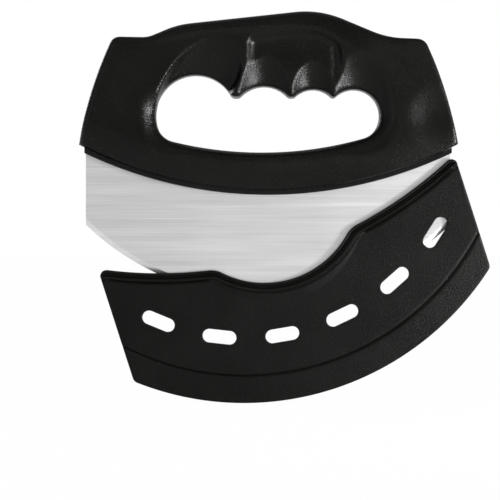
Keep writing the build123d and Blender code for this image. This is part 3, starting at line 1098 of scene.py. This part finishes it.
class KNIFE_OT_blade(bpy.types.Operator):
    """Gives the blade, its collar and its pins their finishes"""

    bl_idname = "knife.blade"
    bl_label = "Blade"

    def execute(self, context):
        colours = context.scene.knife_colours
        steel = brushed_steel(
            "brushed_blade_steel",
            tuple(colours.steel),
            roughness=0.34,
            stretch=(14.0, 60.0, 2600.0),
            turn=0.035,
        )
        pins = brushed_steel(
            "turned_pin_steel", PIN_COLOUR, roughness=0.3, stretch=(400.0, 2000.0, 400.0), turn=0.0
        )
        collar = moulded_plastic(
            "collar_plastic",
            tuple(colours.collar),
            grain=1400.0,
            depth=0.00010,
            roughness=0.34,
            specular=0.10,
        )
        dress(["blade"], steel)
        dress([f"tang_pin_{i}" for i in (1, 2, 3, 4)], pins)
        dress(["blade_collar"], collar)
        return {"FINISHED"}


class KNIFE_OT_cover(bpy.types.Operator):
    """Builds the two halves of the blade cover, swung open"""

    bl_idname = "knife.cover"
    bl_label = "Blade Cover"

    def execute(self, context):
        colours = context.scene.knife_colours
        finish = moulded_plastic(
            "grained_cover_plastic",
            tuple(colours.cover),
            grain=1400.0,
            depth=0.00027,
            roughness=0.38,
            specular=0.09,
        )
        points, faces = sculpt_cover()
        pivot = Vector(frame["joints"][0]["pos_m"])
        turn = math.radians(OPEN_ANGLE)
        origin = knife_origin() / MM
        drawn = points + np.array((origin.x, 0.0, origin.z + COVER_CENTRE)) - np.array(pivot) / MM
        swung = drawn.copy()
        swung[:, 0] = drawn[:, 0] * math.cos(turn) - drawn[:, 2] * math.sin(turn)
        swung[:, 2] = drawn[:, 0] * math.sin(turn) + drawn[:, 2] * math.cos(turn)
        for name, side, node in (
            ("cover_half_front", 1, "cover_front_half"),
            ("cover_half_rear", -1, "cover_rear_half"),
        ):
            piece = mesh_piece(name, swung * np.array((1, side, 1)), faces, pivot, finish)
            place(piece, "cover", "cover_plastic")
            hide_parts(node)
        return {"FINISHED"}


class KNIFE_OT_stage(bpy.types.Operator):
    """Sets up the floor, the lamps, the backdrop and the camera"""

    bl_idname = "knife.stage"
    bl_label = "Stage"

    def execute(self, context):
        scene = context.scene
        stage = scene.knife_stage
        scene.view_settings.view_transform = "Standard"
        self.make_floor(tuple(scene.knife_colours.floor))
        self.make_sky(scene, stage.sky)
        for name, (spot, size) in LAMPS.items():
            self.make_lamp(f"{name}_lamp", Vector(spot), size, getattr(stage, name))
        camera = bpy.data.cameras.new("camera")
        camera.lens = CAMERA_LENS
        camera.sensor_width = SENSOR_WIDTH
        holder = bpy.data.objects.new("camera", camera)
        holder.location = CAMERA_PLACE
        holder.rotation_euler = (math.radians(90), 0.0, 0.0)
        scene.collection.objects.link(holder)
        scene.camera = holder
        return {"FINISHED"}

    def make_lamp(self, name, spot, size, power):
        """A square lamp that faces the knife and isn't seen itself."""
        lamp = bpy.data.lights.new(name, "AREA")
        lamp.shape = "SQUARE"
        lamp.size = size
        lamp.energy = power
        holder = bpy.data.objects.new(name, lamp)
        holder.visible_camera = False
        holder.location = spot
        holder.rotation_euler = (LAMP_AIM - spot).to_track_quat("-Z", "Y").to_euler()
        bpy.context.scene.collection.objects.link(holder)

    def seen_directly(self, finish):
        """Whether a ray comes from the camera, from a mirror-like surface or through glass."""
        camera = finish.node("ShaderNodeLightPath", out="Is Camera Ray")
        glossy = finish.node("ShaderNodeLightPath", out="Is Glossy Ray")
        through = finish.node("ShaderNodeLightPath", out="Is Transmission Ray")
        return camera, glossy, through

    def make_sky(self, scene, strength):
        """Soft light from all round, seen as white."""
        world = bpy.data.worlds.new("soft_sky")
        scene.world = world
        world.use_nodes = True
        sky = Finish("", world.node_tree)
        camera, glossy, through = self.seen_directly(sky)
        up = sky.node("ShaderNodeTexCoord", out="Generated")
        rise = sky.node("ShaderNodeSeparateXYZ", {}, {0: up}, out="Z")
        mirrored = SKY_MIRROR_SHARE - sky.spread(rise, *SKY_RISE) * SKY_TOP_LOSS
        share = camera + through + glossy * mirrored
        light = sky.node("ShaderNodeBackground", {}, {"Color": (1, 1, 1, 1), "Strength": strength})
        white = sky.node("ShaderNodeBackground", {}, {"Color": (1, 1, 1, 1), "Strength": 1.0})
        mixed = sky.node("ShaderNodeMixShader", {}, {0: share, 1: light, 2: white})
        sky.node("ShaderNodeOutputWorld", {}, {"Surface": mixed})

    def make_floor(self, colour):
        """A wide pale floor, which goes with the stage and not with the part."""
        finish = Finish("pale_floor")
        camera, glossy, through = self.seen_directly(finish)
        share = (camera + through) * FLOOR_SEEN_SHARE + glossy * FLOOR_MIRROR_SHARE
        speck = finish.noise(finish.place(), FLOOR_SPECK_SCALE, 3.0, 0.6)
        base = finish.tint(speck, tuple(c * FLOOR_DARK_SHARE for c in colour), colour)
        matt = finish.node("ShaderNodeBsdfDiffuse", {}, {"Color": base})
        glow = finish.node("ShaderNodeEmission", {}, {"Color": (1, 1, 1, 1), "Strength": 1.0})
        mixed = finish.node("ShaderNodeMixShader", {}, {0: share, 1: matt, 2: glow})
        finish.node("ShaderNodeOutputMaterial", {}, {"Surface": mixed})
        mesh = bpy.data.meshes.new("floor")
        edit = bmesh.new()
        bmesh.ops.create_grid(edit, x_segments=8, y_segments=8, size=FLOOR_HALF_SIZE)
        edit.to_mesh(mesh)
        edit.free()
        floor = bpy.data.objects.new("floor", mesh)
        mesh.materials.append(finish.material)
        bpy.context.scene.collection.objects.link(floor)


class KNIFE_PT_panel(bpy.types.Panel):
    """Builds the knife piece by piece"""

    bl_idname = "KNIFE_PT_panel"
    bl_label = "Pizza Knife"
    bl_space_type = "VIEW_3D"
    bl_region_type = "UI"
    bl_category = "Pizza Knife"

    def draw(self, context):
        column = self.layout.column()
        for group_name in GROUPS:
            group = getattr(context.scene, group_name)
            for name in group.__annotations__:
                column.prop(group, name)
        for operator in OPERATORS:
            column.operator(operator.bl_idname)


OPERATORS = (KNIFE_OT_stage, KNIFE_OT_blade, KNIFE_OT_handle, KNIFE_OT_cover)
GROUPS = {"knife_sizes": KnifeSizes, "knife_colours": KnifeColours, "knife_stage": KnifeStage}


def register():
    for item in (*GROUPS.values(), *OPERATORS, KNIFE_PT_panel):
        bpy.utils.register_class(item)
    for name, group in GROUPS.items():
        setattr(bpy.types.Scene, name, PointerProperty(type=group))


def unregister():
    for name in GROUPS:
        delattr(bpy.types.Scene, name)
    for item in reversed((*GROUPS.values(), *OPERATORS, KNIFE_PT_panel)):
        bpy.utils.unregister_class(item)


def main():
    register()
    for operator in OPERATORS:
        family, name = operator.bl_idname.split(".")
        getattr(getattr(bpy.ops, family), name)()


if __name__ == "__main__":
    main()
